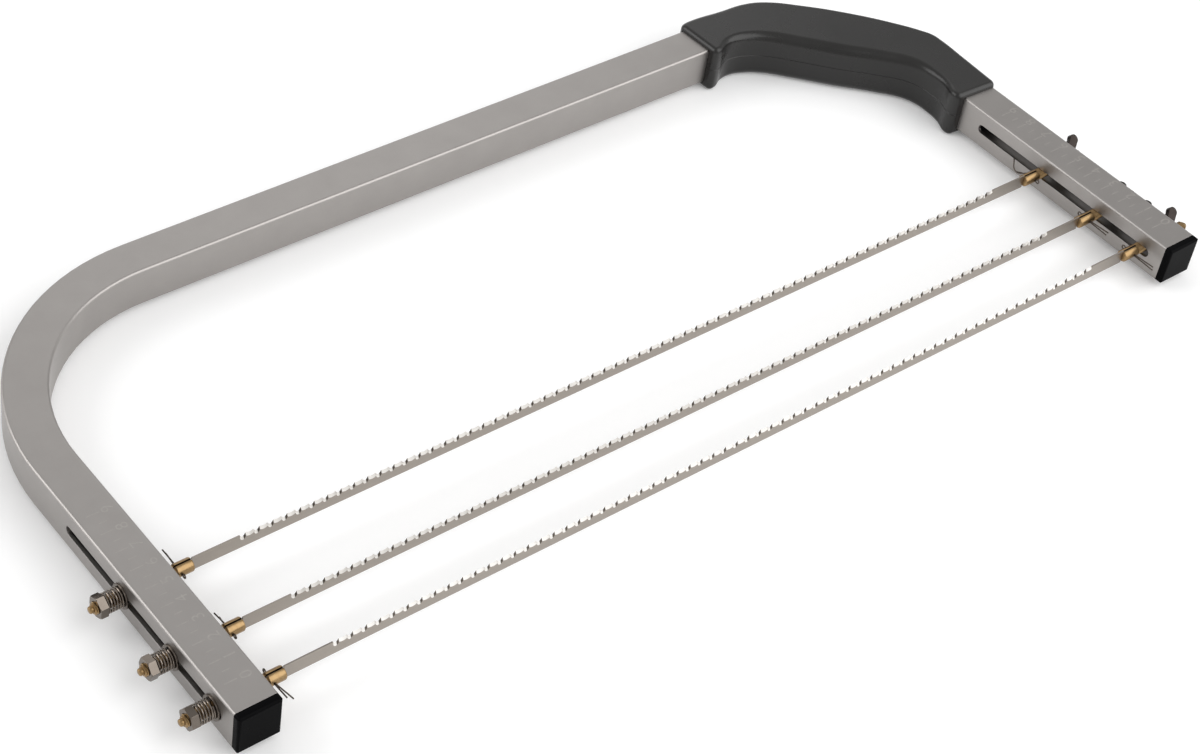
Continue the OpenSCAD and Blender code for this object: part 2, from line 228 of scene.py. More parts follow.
def carve(body: bmesh.types.BMesh, tool: bmesh.types.BMesh) -> bmesh.types.BMesh:
    """Cut a closed mesh with another.

    Args:
        body: The mesh that is cut, which is freed.
        tool: The mesh that cuts it, which is freed.

    Returns:
        What is left.
    """
    holders = []
    for part in (body, tool):
        mesh = bpy.data.meshes.new("carving")
        part.to_mesh(mesh)
        part.free()
        holders.append(link_object("carving", mesh))
    cut = holders[0].modifiers.new("cut", "BOOLEAN")
    cut.operation, cut.object, cut.solver = "DIFFERENCE", holders[1], "EXACT"
    return take_mesh(holders[0], holders[1:])


def take_mesh(holder: bpy.types.Object,
              others: Sequence[bpy.types.Object] = ()) -> bmesh.types.BMesh:
    """Read an object's mesh with its modifiers done, and remove the object.

    Args:
        holder: The object.
        others: More objects that are then removed.

    Returns:
        The mesh.
    """
    graph = bpy.context.evaluated_depsgraph_get()
    bm = bmesh.new()
    bm.from_mesh(holder.evaluated_get(graph).to_mesh())
    for spent in (holder, *others):
        data = spent.data
        bpy.data.objects.remove(spent)
        bpy.data.meshes.remove(data)
    return bm


def lathe(profile: Sequence[tuple[float, float]], steps: int) -> bmesh.types.BMesh:
    """Turn a profile round the X axis.

    Args:
        profile: Points of x and radius in millimetres, from one end of the piece to the other.
        steps: Faces round the axis.

    Returns:
        The turned piece, in metres, with its faces outwards.
    """
    bm = bmesh.new()
    verts = [bm.verts.new((x * MM, r * MM, 0)) for x, r in profile]
    edges = [bm.edges.new(pair) for pair in zip(verts, verts[1:])]
    bmesh.ops.spin(bm, geom=verts + edges, cent=(0, 0, 0), axis=(1, 0, 0),
                   angle=2 * math.pi, steps=steps, use_merge=True)
    bmesh.ops.remove_doubles(bm, verts=bm.verts, dist=FINE_WELD * MM)
    bmesh.ops.holes_fill(bm, edges=bm.edges)
    bmesh.ops.recalc_face_normals(bm, faces=bm.faces)
    return bm


def close_run(bm: bmesh.types.BMesh) -> None:
    """Drop the faces that an extruded run leaves inside it, and turn the rest outwards."""
    inner = [f for f in bm.faces if all(len(e.link_faces) > 2 for e in f.edges)]
    bmesh.ops.delete(bm, geom=inner, context="FACES_ONLY")
    bmesh.ops.recalc_face_normals(bm, faces=bm.faces)


def bend_wire(points: Sequence[tuple[float, float, float]], diameter: float,
              smooth: bool = True) -> bmesh.types.BMesh:
    """Make a round wire along points.

    Args:
        points: The points in millimetres.
        diameter: The wire's diameter in millimetres.
        smooth: Whether the wire bends smoothly through the points.

    Returns:
        The wire, closed at both ends, in metres.
    """
    curve = bpy.data.curves.new("wire", "CURVE")
    curve.dimensions = "3D"
    curve.bevel_depth = diameter / 2 * MM
    curve.bevel_resolution = 3
    curve.resolution_u = 8
    curve.use_fill_caps = True
    line = curve.splines.new("BEZIER" if smooth else "POLY")
    knots = line.bezier_points if smooth else line.points
    knots.add(len(points) - 1)
    for knot, point in zip(knots, points):
        spot = Vector(point) * MM
        knot.co = spot if smooth else (*spot, 1.0)
        if smooth:
            knot.handle_left_type = knot.handle_right_type = "AUTO"
    bm = bmesh.new()
    add_curve(bm, curve)
    bmesh.ops.remove_doubles(bm, verts=bm.verts, dist=FINE_WELD * MM)
    bmesh.ops.recalc_face_normals(bm, faces=bm.faces)
    return bm


def finish_piece(name: str, bm: bmesh.types.BMesh, materials: Sequence[bpy.types.Material],
                 body: str | None, replaces: Iterable[str] = (),
                 crease: float = 35, weighted: bool = True) -> bpy.types.Object:
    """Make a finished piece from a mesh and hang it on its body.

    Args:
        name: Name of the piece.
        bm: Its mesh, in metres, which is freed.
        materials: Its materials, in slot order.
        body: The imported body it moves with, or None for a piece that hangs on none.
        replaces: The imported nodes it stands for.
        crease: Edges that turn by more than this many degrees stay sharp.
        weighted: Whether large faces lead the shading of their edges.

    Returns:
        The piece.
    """
    mesh = bpy.data.meshes.new(name)
    bm.to_mesh(mesh)
    bm.free()
    for material in materials:
        mesh.materials.append(material)
    mesh.shade_smooth()
    mesh.set_sharp_from_angle(angle=math.radians(crease))
    piece = link_object(name, mesh)
    if weighted:
        piece.modifiers.new("even_shading", "WEIGHTED_NORMAL").keep_sharp = True
    if replaces:
        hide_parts(*replaces)
    if body is not None:
        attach(piece, body)
    LOG.info("%s: %d faces on %s", name, len(mesh.polygons), body)
    return piece


# ------------------------------------------------------------------ finishes

# Sockets of the colour mix, by number, because its names repeat
MIX_SHARE, MIX_FIRST, MIX_SECOND, MIX_RESULT = 0, 6, 7, 2


def start_material(name: str) -> tuple[bpy.types.Material, bpy.types.Node]:
    """Make a new material and return it with its shader."""
    material = bpy.data.materials.new(name)
    material.use_nodes = True
    return material, material.node_tree.nodes["Principled BSDF"]


def add_noise(tree: bpy.types.NodeTree, size: float, where: bpy.types.NodeSocket,
              **values: float) -> bpy.types.NodeSocket:
    """Add a noise pattern.

    Args:
        tree: The node tree.
        size: The pattern's size, in millimetres.
        where: The coordinates that it lies on.
        **values: Values for the pattern's other sockets.

    Returns:
        The socket with the pattern's value.
    """
    return add_node(tree, "ShaderNodeTexNoise", {"Scale": 1 / (size * MM), **values},
                    {"Vector": where}).outputs[0]


def join_patterns(tree: bpy.types.NodeTree, shader: bpy.types.Node, colours: Sequence[str],
                  patches: bpy.types.NodeSocket, rough: bpy.types.NodeSocket,
                  roughness: tuple[float, float], grain: bpy.types.NodeSocket,
                  depth: float) -> None:
    """Drive a shader's colour, roughness and relief with patterns.

    Args:
        tree: The node tree.
        shader: The shader.
        colours: The two colours that the patches mix.
        patches: The pattern of the colour.
        rough: The pattern of the roughness.
        roughness: The least and the most roughness.
        grain: The pattern of the relief.
        depth: The relief's depth, in millimetres.
    """
    mixed = add_node(tree, "ShaderNodeMix",
                     {MIX_FIRST: linear(colours[0]), MIX_SECOND: linear(colours[1])},
                     {MIX_SHARE: patches}, data_type="RGBA")
    tree.links.new(mixed.outputs[MIX_RESULT], shader.inputs["Base Color"])
    spread = add_node(tree, "ShaderNodeMapRange",
                      {"From Min": 0.3, "From Max": 0.7, "To Min": roughness[0],
                       "To Max": roughness[1]}, {"Value": rough})
    tree.links.new(spread.outputs[0], shader.inputs["Roughness"])
    bump = add_node(tree, "ShaderNodeBump", {"Strength": 1.0, "Distance": depth * MM},
                    {"Height": grain})
    tree.links.new(bump.outputs[0], shader.inputs["Normal"])


@dataclass(frozen=True)
class MetalFinish:
    """A metal surface: a colour that wanders a little, a grain, and its roughness."""

    name: str
    colour: str
    second: str
    roughness: float
    spread: float = 0.06
    patch: float = 12.0
    grain: float = 0.25
    grain_depth: float = 0.01
    stretch: tuple[float, float, float] = (1.0, 1.0, 1.0)
    metallic: float = 1.0

    def build(self) -> bpy.types.Material:
        """Build the material.

        Returns:
            The material, with its pattern on object coordinates.
        """
        material, shader = start_material(self.name)
        tree = material.node_tree
        shader.inputs["Metallic"].default_value = self.metallic
        where = add_node(tree, "ShaderNodeTexCoord").outputs["Object"]
        drawn = add_node(tree, "ShaderNodeMapping", {"Scale": self.stretch},
                         {"Vector": where}).outputs[0]
        patches = add_noise(tree, self.patch, drawn, Detail=3.0)
        grain = add_noise(tree, self.grain, drawn, Detail=2.0, Roughness=0.6)
        join_patterns(tree, shader, (self.colour, self.second), patches, grain,
                      (self.roughness - self.spread, self.roughness + self.spread), grain,
                      self.grain_depth)
        return material


@dataclass(frozen=True)
class PlasticFinish:
    """A moulded plastic: its colour, the fine grain of the mould, and rubbed patches."""

    name: str
    colour: str
    rubbed: str
    roughness: float
    specular: float
    spread: float = 0.05
    grain: float = 0.45
    grain_depth: float = 0.03
    patch: float = 25.0

    def build(self) -> bpy.types.Material:
        """Build the material.

        Returns:
            The material, with its grain on object coordinates.
        """
        material, shader = start_material(self.name)
        tree = material.node_tree
        shader.inputs["Specular IOR Level"].default_value = self.specular
        where = add_node(tree, "ShaderNodeTexCoord").outputs["Object"]
        patches = add_noise(tree, self.patch, where, Detail=4.0)
        grain = add_noise(tree, self.grain, where, Detail=2.0)
        join_patterns(tree, shader, (self.colour, self.rubbed), patches, patches,
                      (self.roughness - self.spread, self.roughness + self.spread), grain,
                      self.grain_depth)
        return material


class Finish(Enum):
    """The finishes of this tool, named for the material and how its surface was made."""

    # Bead-blasted and clear anodised: an even satin grey that never mirrors
    ANODISED_ALUMINIUM = MetalFinish("anodised_aluminium", "#9f9b98", "#a8a4a1", 0.42,
                                     spread=0.03, grain=0.3, grain_depth=0.006)
    # Painted shade: the tube's inside, which shows through the slots, made dull and dark
    RAW_ALUMINIUM = MetalFinish("tube_inside_painted_shade", "#5a5652", "#4b4844", 0.5, grain=0.4)
    # Moulded plastic with a fine spark-eroded grain: warm near-black, broad soft highlights
    MOULDED_HANDLE = PlasticFinish("moulded_handle_plastic", "#1b1a19", "#21201f", 0.27,
                                   specular=0.42)
    # Smooth moulded plastic: cooler black, a tighter highlight
    MOULDED_CAP = PlasticFinish("moulded_cap_plastic", "#080809", "#0b0b0c", 0.3,
                                specular=0.02, grain_depth=0.01)
    # Turned brass, lightly tarnished: a dull yellow brown
    TURNED_BRASS = MetalFinish("turned_brass", "#a28862", "#8a704e", 0.32, patch=3.0,
                               grain=0.2, grain_depth=0.004, stretch=(3.0, 1.0, 1.0))
    # Painted shade in the saw cut: its walls made dark brown, with the saw's lines
    SAWN_BRASS = MetalFinish("sawn_brass", "#33281b", "#241c13", 0.5, grain=0.3,
                             grain_depth=0.02)
    # Rolled stainless strip: brownish grey, fine lines along the strip
    ROLLED_STEEL = MetalFinish("rolled_blade_steel", "#9a938b", "#a69e96", 0.34, patch=20.0,
                               grain=0.25, grain_depth=0.004, stretch=(0.05, 1.0, 1.0))
    # Ground bevel of the teeth: lighter than the rolled faces, and made near white as a painted
    # highlight, with lines across the strip
    GROUND_STEEL = MetalFinish("ground_bevel_steel", "#f2f0ec", "#e6e3de", 0.38, patch=4.0,
                               grain=0.15, grain_depth=0.003, stretch=(1.0, 1.0, 0.1))
    # Painted shade on each gullet's face that looks to the left arm
    GULLET_STEEL = MetalFinish("gullet_painted_shade", "#6d655e", "#57504a", 0.35, patch=2.0)
    # Nickel-plated spring wire: smooth, with bright and dark lines
    SPRING_WIRE = MetalFinish("nickel_spring_wire", "#8f867d", "#756b62", 0.2, patch=2.0,
                              grain_depth=0.002)
    # Drawn and plated wire: a duller grey
    DRAWN_WIRE = MetalFinish("drawn_pin_wire", "#6b635c", "#4f4842", 0.28, patch=2.0)
    # Stamped and nickel-plated washers
    PLATED_WASHER = MetalFinish("plated_washer_steel", "#7a726a", "#675f58", 0.26, patch=4.0)
    # Machined and nickel-plated nuts: clean flats
    PLATED_NUT = MetalFinish("plated_nut_steel", "#7b736b", "#675f58", 0.16, patch=4.0,
                             grain_depth=0.003)
    # Cast and plated wing nuts: soft edges, a faint orange-peel surface
    CAST_WING = MetalFinish("cast_wing_nut_steel", "#3b3532", "#2c2826", 0.34, patch=5.0,
                            grain=0.6, grain_depth=0.02)
    # Marks burnt into the anodising: a dull pale grey
    ETCHED_MARK = MetalFinish("etched_mark", "#b3afab", "#9f9b97", 0.5, patch=1.5,
                              grain_depth=0.004, metallic=0.8)
    # Zinc-plated screws
    ZINC_SCREW = MetalFinish("zinc_screw_steel", "#a9a8a6", "#94928f", 0.3, patch=3.0)

    def material(self) -> bpy.types.Material:
        """Return the finish's material, built once."""
        found = bpy.data.materials.get(self.value.name)
        return found or self.value.build()


def dress_copy(name: str, node: str, finish: Finish, body: str, edge: float,
               angle: float) -> None:
    """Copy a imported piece, soften its edges and dress it.

    Args:
        name: Name of the piece.
        node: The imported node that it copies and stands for.
        finish: Its finish.
        body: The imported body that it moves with.
        edge: Width of the softened edges, in millimetres.
        angle: The least turn of an edge that is softened, in degrees.
    """
    bm = solid_copy(node)
    soften(bm, edge, angle)
    finish_piece(name, bm, [finish.material()], body, [node])


# ------------------------------------------------------------------ bow

@dataclass
class Bow:
    """The bent tube, the two end caps, and the handle's screws."""

    rim: float = 0.2
    wall: float = 1.5
    arm_length: float = 118.0
    cap_rim: float = 0.25
    screw_rim: float = 0.15
    slack: float = 0.1

    def build(self) -> None:
        """Make the bow's pieces."""
        tube = solid_copy("frame_tube")
        self.mark_inside(tube)
        soften(tube, self.rim, angle=50)
        # The second material is painted shade for the faces inside the arms
        finish_piece("bow_tube", tube, [Finish.ANODISED_ALUMINIUM.material(),
                                        Finish.RAW_ALUMINIUM.material()], "bow",
                     ["frame_tube"])
        for side in ("left", "right"):
            dress_copy(f"cap_{side}", f"end_cap_{side}", Finish.MOULDED_CAP,
                       "bow", self.cap_rim, angle=40)
        dress_copy("screws", "handle_screws", Finish.ZINC_SCREW, "bow",
                   self.screw_rim, angle=40)

    def mark_inside(self, tube: bmesh.types.BMesh) -> None:
        """Give the faces inside the arms, which show through the slots, a dark finish of painted
        shade.
        """
        reach = TUBE / 2 - self.wall + self.slack
        for face in tube.faces:
            spot = (face.calc_center_median() - ORIGIN) / MM
            across = abs(abs(spot.x) - HALF_WIDTH + TUBE / 2)
            if abs(spot.z) < reach and across < reach and spot.y < self.arm_length:
                face.material_index = 1


@dataclass
class Scale:
    """The centimetre scale on an arm's top face, which sets the height of each cut.

    The figures lie with their tops to the left, so that they are read with the tool stood on
    its feet. Places across the arm are measured from the arm's left edge.
    """

    name: str
    edge: float
    whole: tuple[float, float]
    half: tuple[float, float]
    figures: tuple[float, float]
    first: float = 12.4
    step: float = 10.0
    count: int = 10
    line: float = 0.35
    thinned: float = 0.06
    proud: float = 0.02

    def build(self) -> None:
        """Draw the lines and the figures as thin plates that lie on the tube's face."""
        bm = bmesh.new()
        for i in range(self.count):
            at = self.first + i * self.step
            self.draw_line(bm, self.whole, at)
            if i < self.count - 1:
                self.draw_line(bm, self.half, at + self.step / 2)
            self.draw_figure(bm, str(i), at)
        bmesh.ops.recalc_face_normals(bm, faces=bm.faces)
        finish_piece(self.name, bm, [Finish.ETCHED_MARK.material()], "bow",
                     weighted=False)

    def draw_line(self, bm: bmesh.types.BMesh, ends: tuple[float, float], at: float) -> None:
        """Draw one line across the arm.

        Args:
            bm: The mesh that it is added to.
            ends: Its two ends, from the arm's left edge.
            at: Its distance from the tube's ends.
        """
        add_box(bm, place(self.edge + sum(ends) / 2, at, (TUBE + self.proud) / 2),
                (ends[1] - ends[0], self.line, self.proud))

    def draw_figure(self, bm: bmesh.types.BMesh, figure: str, at: float) -> None:
        """Draw one figure beside its line.

        Args:
            bm: The mesh that it is added to.
            figure: The figure.
            at: The line's distance from the tube's ends.
        """
        top, foot = self.figures
        text = bpy.data.curves.new("figure", "FONT")
        text.body = figure
        text.align_x = "CENTER"
        text.resolution_u = 4
        text.size = (foot - top) / FIGURE_RISE * MM
        text.offset = -self.thinned * MM
        text.extrude = self.proud / 2 * MM
        middle = place(self.edge + foot, at, (TUBE + self.proud) / 2)
        add_curve(bm, text, Matrix.Translation(middle) @ Matrix.Rotation(math.radians(90), 4, "Z"))


@dataclass
class Handle:
    """The two moulded shells that are clamped round the right-hand bend.

    The outline's points are measured from the bend's middle: x, y, and the radius of the
    rounded edge there. The outer side follows the bow, and the inner side is a grip between
    two finger lips.
    """

    height: float = 23.0
    bend_radius: float = 83.0
    channel: float = 18.1
    reach: float = 40.0
    parting: float = 0.18
    groove_levels: int = 2
    corner: float = 2.8
    corner_clear: float = 1.4
    corner_faces: int = 5
    steps: int = 7
    bend_steps: int = 48
    outer: tuple[tuple[float, float, float], ...] = (
        (-6.6, 94.2, 2.6), (-1.0, 95.2, 2.8), (17.0, 94.3, 3.2), (33.0, 93.0, 3.2),
        (42.5, 89.2, 3.2), (55.3, 79.1, 3.2), (72.0, 62.6, 3.2), (87.0, 43.8, 3.0),
        (92.2, 35.6, 2.8), (94.8, 30.0, 2.6), (95.3, 24.7, 2.6), (94.6, 10.0, 2.6),
        (93.2, -12.7, 2.5))
    inner: tuple[tuple[float, float, float], ...] = (
        (69.2, -11.6, 2.5), (69.4, -7.5, 2.3), (71.6, -1.5, 2.6), (72.4, 5.0, 3.0),
        (70.4, 17.0, 4.0), (60.4, 29.4, 4.4), (47.6, 41.8, 4.6), (35.8, 54.6, 4.6),
        (24.4, 66.2, 4.4), (17.0, 70.9, 3.9), (10.0, 72.9, 3.4), (4.0, 72.4, 2.8),
        (-1.6, 69.8, 2.3), (-5.6, 69.0, 2.5))
    screw_circle: float = 70.4
    screw_angles: tuple[float, ...] = (35.0, 45.0, 55.0)
    screw_hole: float = 3.04
    head_hole: float = 6.0
    head_depth: float = 3.0
    screw_reach: float = 18.0
    drill_sides: int = 40

    def build(self) -> None:
        """Make the shells."""
        for half, side in (("upper", 1), ("lower", -1)):
            shell = carve(self.block(side), self.channel_tool())
            shell = carve(shell, self.screw_tool(self.screw_hole, self.screw_reach))
            if side < 0:
                shell = carve(shell, self.screw_tool(self.head_hole, self.head_depth))
            bmesh.ops.remove_doubles(shell, verts=shell.verts, dist=WELD * MM)
            finish_piece(f"handle_{half}", shell, [Finish.MOULDED_HANDLE.material()], "bow",
                         [f"handle_{half}_shell"], crease=40)

    def middle(self) -> Vector:
        """Return the middle of the bend, in metres."""
        bend_x = HALF_WIDTH - TUBE / 2 - self.bend_radius
        depth = (TUBE_HIGH.y - TUBE_LOW.y) / MM
        return place(bend_x, depth - TUBE / 2 - self.bend_radius, 0)

    def outline(self) -> bmesh.types.BMesh:
        """Draw the outline as one face, its corners rounded.

        Returns:
            The face in millimetres, whose heights are the radii of the rounded edge.
        """
        curve = bpy.data.curves.new("outline", "CURVE")
        curve.dimensions = "3D"
        curve.resolution_u = 7
        for points in (self.outer, self.inner):
            line = curve.splines.new("BEZIER")
            line.bezier_points.add(len(points) - 1)
            for knot, point in zip(line.bezier_points, points):
                knot.co = point
                knot.handle_left_type = knot.handle_right_type = "AUTO"
        bm = bmesh.new()
        add_curve(bm, curve)
        ends = [v for v in bm.verts if len(v.link_edges) == 1]
        ends.sort(key=lambda v: v.co.y)
        for pair in (ends[:2], ends[2:]):
            bm.edges.new(pair)
        bmesh.ops.contextual_create(bm, geom=bm.edges)
        clear = self.corner_clear * self.corner
        near = [v for v in bm.verts if v not in ends
                and min((v.co - end.co).to_2d().length for end in ends) < clear]
        bmesh.ops.dissolve_verts(bm, verts=near)
        bmesh.ops.bevel(bm, geom=ends, offset=self.corner, offset_type="OFFSET",
                        segments=self.corner_faces, profile=0.5, affect="VERTICES", material=-1)
        return bm

    def block(self, side: int) -> bmesh.types.BMesh:
        """Build one half of the moulding, before it is hollowed for the tube.

        Args:
            side: 1 for the upper half, -1 for the lower half.

        Returns:
            The half, closed, in metres.
        """
        bm = self.outline()
        face = next(iter(bm.faces))
        bm.normal_update()
        if face.normal.z < 0:
            face.normal_flip()
        base = bm.verts.layers.float_vector.new("base")
        inward = bm.verts.layers.float_vector.new("inward")
        for loop in face.loops:
            before, here, after = (step.vert.co for step in
                                   (loop.link_loop_prev, loop, loop.link_loop_next))
            along = (after - before).to_2d().normalized()
            loop.vert[base] = here.copy()
            loop.vert[inward] = (-along.y, along.x, 0)
        for level in range(self.groove_levels + self.steps + 1):
            if level:
                grown = bmesh.ops.extrude_face_region(bm, geom=[face])["geom"]
                face = next(g for g in grown if isinstance(g, bmesh.types.BMFace))
            for vert in face.verts:
                offset, rise = self.wall_at(level, vert[base].z)
                spot = vert[base] + vert[inward] * offset
                vert.co = (spot.x, spot.y, side * rise)
        middle = self.middle()
        for vert in bm.verts:
            vert.co = vert.co * MM + middle
        close_run(bm)
        return bm

    def wall_at(self, level: int, radius: float) -> tuple[float, float]:
        """Say where one level of a half's wall lies.

        Args:
            level: The first ones are the parting groove's, and the rest go up and round
                the edge.
            radius: The radius of the rounded edge there.

        Returns:
            How far it lies in from the outline, and how far from the parting plane.
        """
        if level < self.groove_levels:
            return ((self.parting, 0.0), (0.0, self.parting))[level]
        turn = math.radians(90) * (level - self.groove_levels) / self.steps
        return (radius * (1 - math.cos(turn)),
                self.height / 2 - radius * (1 - math.sin(turn)))

    def channel_tool(self) -> bmesh.types.BMesh:
        """Build the square bar that the tube's channel is cut with.

        Returns:
            The bar, straight at both ends and bent between them, in metres.
        """
        bm = bmesh.new()
        upright = Matrix.Rotation(math.radians(90), 4, "X")
        start = Matrix.Translation((self.bend_radius * MM, -self.reach * MM, 0))
        bmesh.ops.create_grid(bm, x_segments=1, y_segments=1, size=self.channel / 2 * MM,
                              matrix=start @ upright)
        run = bmesh.ops.extrude_face_region(bm, geom=bm.faces[:])["geom"]
        self.shift(bm, run, (0, self.reach * MM, 0))
        bend = bmesh.ops.spin(bm, geom=[g for g in run if isinstance(g, bmesh.types.BMFace)],
                              cent=(0, 0, 0), axis=(0, 0, 1), angle=math.radians(90),
                              steps=self.bend_steps)
        last = [g for g in bend["geom_last"] if isinstance(g, bmesh.types.BMFace)]
        run = bmesh.ops.extrude_face_region(bm, geom=last)["geom"]
        self.shift(bm, run, (-self.reach * MM, 0, 0))
        bmesh.ops.translate(bm, verts=bm.verts, vec=self.middle())
        close_run(bm)
        return bm

    def shift(self, bm: bmesh.types.BMesh, grown: Sequence, by: Sequence[float]) -> None:
        """Move the vertices of what an operator has just made."""
        bmesh.ops.translate(bm, vec=by,
                            verts=[g for g in grown if isinstance(g, bmesh.types.BMVert)])

    def screw_tool(self, diameter: float, depth: float) -> bmesh.types.BMesh:
        """Build the drills for the screws, from the underside.

        Args:
            diameter: The drill's diameter.
            depth: How deep it goes.

        Returns:
            Three round bars, in metres.
        """
        bm = bmesh.new()
        for angle in self.screw_angles:
            turn = math.radians(angle)
            spot = Vector((math.cos(turn), math.sin(turn), 0)) * self.screw_circle
            spot.z = -self.height / 2 + (depth - OVERSHOOT) / 2
            add_bar(bm, diameter, depth + OVERSHOOT, self.drill_sides,
                    Matrix.Translation(self.middle() + spot * MM))
        return bm


# ------------------------------------------------------------------ blade units

@dataclass
class Rod:
    """A brass blade holder: a sawn head, a threaded shank with two flats, and a point.

    It is drawn along its own axis from the head's free end, which lies at `head_at` across the
    bow. `saw` is the depth of the saw cut that takes the blade's end.
    """

    node: str
    unit: int
    side: Arm
    head_at: float
    head: float
    saw: float
    length: float
    head_diameter: float = 5.2
    diameter: float = 5.0
    flat: float = 4.0
    pitch: float = 0.8
    thread: float = 0.42
    thread_slope: float = 1.25
    thread_root: float = 0.1
    chamfer: float = 0.5
    rounding: tuple[float, float] = (0.15, 0.2)
    head_bevel: float = 0.3
    shoulder: float = 0.02
    point: float = 2.8
    point_length: float = 1.5
    saw_width: float = 0.8
    pin_hole: float = 1.3
    ring: float = 0.1
    sides: int = 36
    drill_sides: int = 24
    sawn_turn: float = 0.95

    def build(self) -> None:
        """Turn, thread, saw and drill the rod."""
        bm = lathe(self.profile(), steps=self.sides)
        self.cut_thread(bm)
        pin_at = abs(self.side * (INSIDE - PIN_GAP) - self.head_at)
        saw = bmesh.new()
        add_box(saw, Vector(((self.saw - OVERSHOOT) / 2 * MM, 0, 0)),
                (self.saw + OVERSHOOT, self.saw_width, 2 * self.diameter))
        drill = bmesh.new()
        add_bar(drill, self.pin_hole, 2 * self.diameter, self.drill_sides,
                Matrix.Translation((pin_at * MM, 0, 0))
                @ Matrix.Rotation(math.radians(90), 4, "X"))
        bm = carve(carve(bm, saw), drill)
        start = place(self.head_at, blade_at(self.unit), 0)
        for vert in bm.verts:
            vert.co = (start.x + self.side * vert.co.x, start.y + vert.co.y,
                       start.z + vert.co.z)
        bmesh.ops.recalc_face_normals(bm, faces=bm.faces)
        # The walls of the saw cut get the painted shade of the cut
        for face in bm.faces:
            off = abs(face.calc_center_median().y - start.y) / MM
            sawn = abs(face.normal.y) > self.sawn_turn and off < self.saw_width
            face.material_index = int(sawn)
        finish_piece(f"{self.node}_{self.unit}_piece", bm,
                     [Finish.TURNED_BRASS.material(), Finish.SAWN_BRASS.material()],
                     f"blade_set_{self.unit}", [f"{self.node}_{self.unit}"],
                     crease=32, weighted=False)

    def profile(self) -> list[tuple[float, float]]:
        """Return the rod's profile, with a ring for every step of the thread."""
        r, tip, c = self.diameter / 2, self.point / 2, self.chamfer
        head, bevel, slope = self.head_diameter / 2, self.head_bevel, self.shoulder
        along, down = self.rounding
        shank = self.length - self.point_length
        count = round((shank - c - self.head) / self.ring)
        rings = [(self.head + (shank - c - self.head) * i / count, r) for i in range(1, count)]
        return ([(0, 0), (0, head - c), (along, head - down), (c, head),
                 (self.head - bevel, head), (self.head, head - bevel), (self.head + slope, r)]
                + rings + [(shank - c, r), (shank, r - c), (shank + slope, tip),
                           (self.length - c, tip), (self.length - along, tip - down),
                           (self.length, tip - c), (self.length, 0)])

    def cut_thread(self, bm: bmesh.types.BMesh) -> None:
        """Cut the thread into the shank and mill its two flats."""
        shank = self.length - self.point_length
        for vert in bm.verts:
            x, y, z = vert.co / MM
            if not self.head + self.shoulder / 2 < x <= shank + FINE_WELD:
                continue
            phase = (x / self.pitch + math.atan2(z, y) / (2 * math.pi)) % 1
            ramp = self.thread_slope * (1 - abs(2 * phase - 1)) - self.thread_root
            crest = min(1.0, max(0.0, ramp))
            depth = self.thread * (1 - crest)
            radius = math.hypot(y, z)
            keep = min(1.0, (self.diameter / 2 - depth) / radius)
            limit = self.flat / 2
            vert.co = Vector((x, y * keep, min(limit, max(-limit, z * keep)))) * MM


@dataclass
class SplitPin:
    """A bent wire pin through a rod's head and the blade's end.

    Each leg is a list of points from the middle of the hole: x, y and z. `facing` is 1 for
    legs that point to the back of the bow and -1 for legs that point to the feet.
    """

    unit: int
    side: Arm
    facing: int
    first: tuple[tuple[float, float, float], ...]
    second: tuple[tuple[float, float, float], ...]
    wire: float = 0.58
    half_gap: float = 0.3
    grip: float = 2.6
    knee: float = 0.6
    neck: float = 0.3
    eye_at: float = -3.75
    eye: float = 0.8
    eye_start: float = 50.0
    eye_sweep: float = 260.0
    eye_steps: int = 8

    def build(self) -> None:
        """Bend the pin from one wire."""
        name = f"split_pin_{self.side.name.lower()}_{self.unit}"
        grip, g = self.grip, self.half_gap
        loop = []
        for i in range(self.eye_steps + 1):
            turn = math.radians(self.eye_start + self.eye_sweep * i / self.eye_steps)
            loop.append((0.0, self.eye_at + self.eye * math.cos(turn),
                         self.eye * math.sin(turn)))
        points = [*reversed(self.first), (0.0, grip, g), (0.0, grip - self.knee, g),
                  (0.0, -grip + self.neck, g), *loop, (0.0, -grip + self.neck, -g),
                  (0.0, grip - self.knee, -g), (0.0, grip, -g), *self.second]
        start = (self.side * (INSIDE - PIN_GAP), blade_at(self.unit), 0.0)
        wire = bend_wire([(start[0] + x, start[1] + self.facing * y, start[2] + z)
                          for x, y, z in points], self.wire)
        bmesh.ops.translate(wire, verts=wire.verts, vec=ORIGIN)
        finish_piece(f"{name}_piece", wire, [Finish.DRAWN_WIRE.material()],
                     f"blade_set_{self.unit}", [name], weighted=False)


